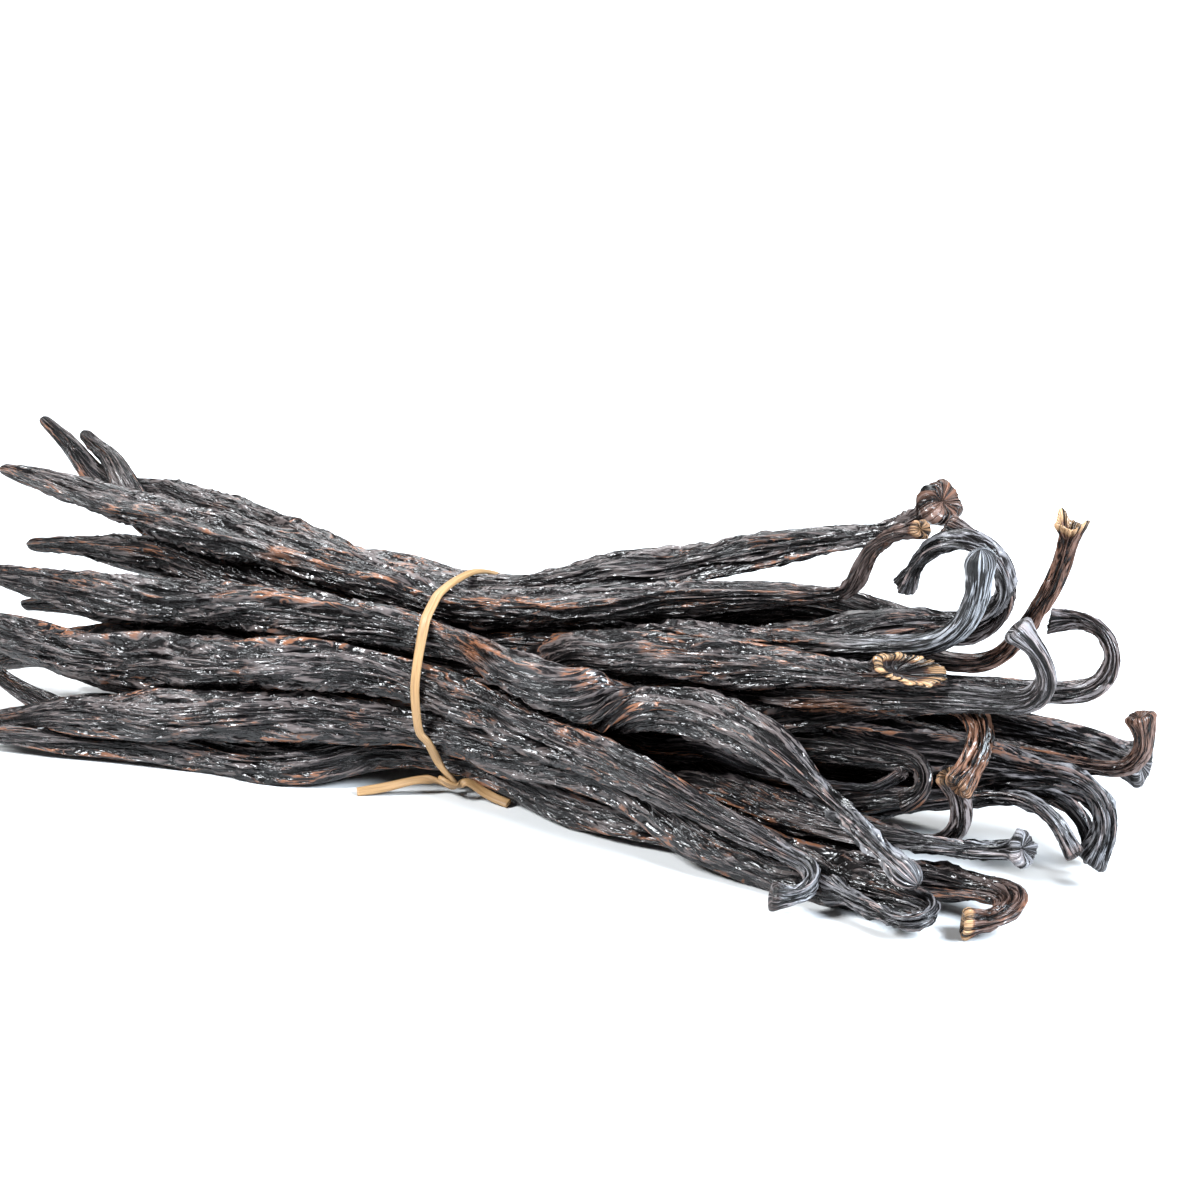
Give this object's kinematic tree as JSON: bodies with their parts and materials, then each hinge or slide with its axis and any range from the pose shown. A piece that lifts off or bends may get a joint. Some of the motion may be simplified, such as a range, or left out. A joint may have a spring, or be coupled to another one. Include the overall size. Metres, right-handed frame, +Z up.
{
  "type": "bundle of vanilla pods",
  "caption": "Bundle of cured vanilla pods with curled stem ends, tied round its middle with a strand of raffia and lying on its side.",
  "frame": {"origin": "middle of the bounding box's underside, on the surface that the bundle lies on", "axes": "+X along the pods towards their curled stem ends, +Z up, +Y away from the side with the knot"},
  "size_m": [0.2184, 0.0551, 0.057],
  "materials": {
    "pod_skin": "wrinkled, satin, slightly oily",
    "raffia": "dry split palm fibre"
  },
  "bodies": {
    "root": {"pods": "pod_skin", "tie": "raffia"}
  },
  "joints": []
}
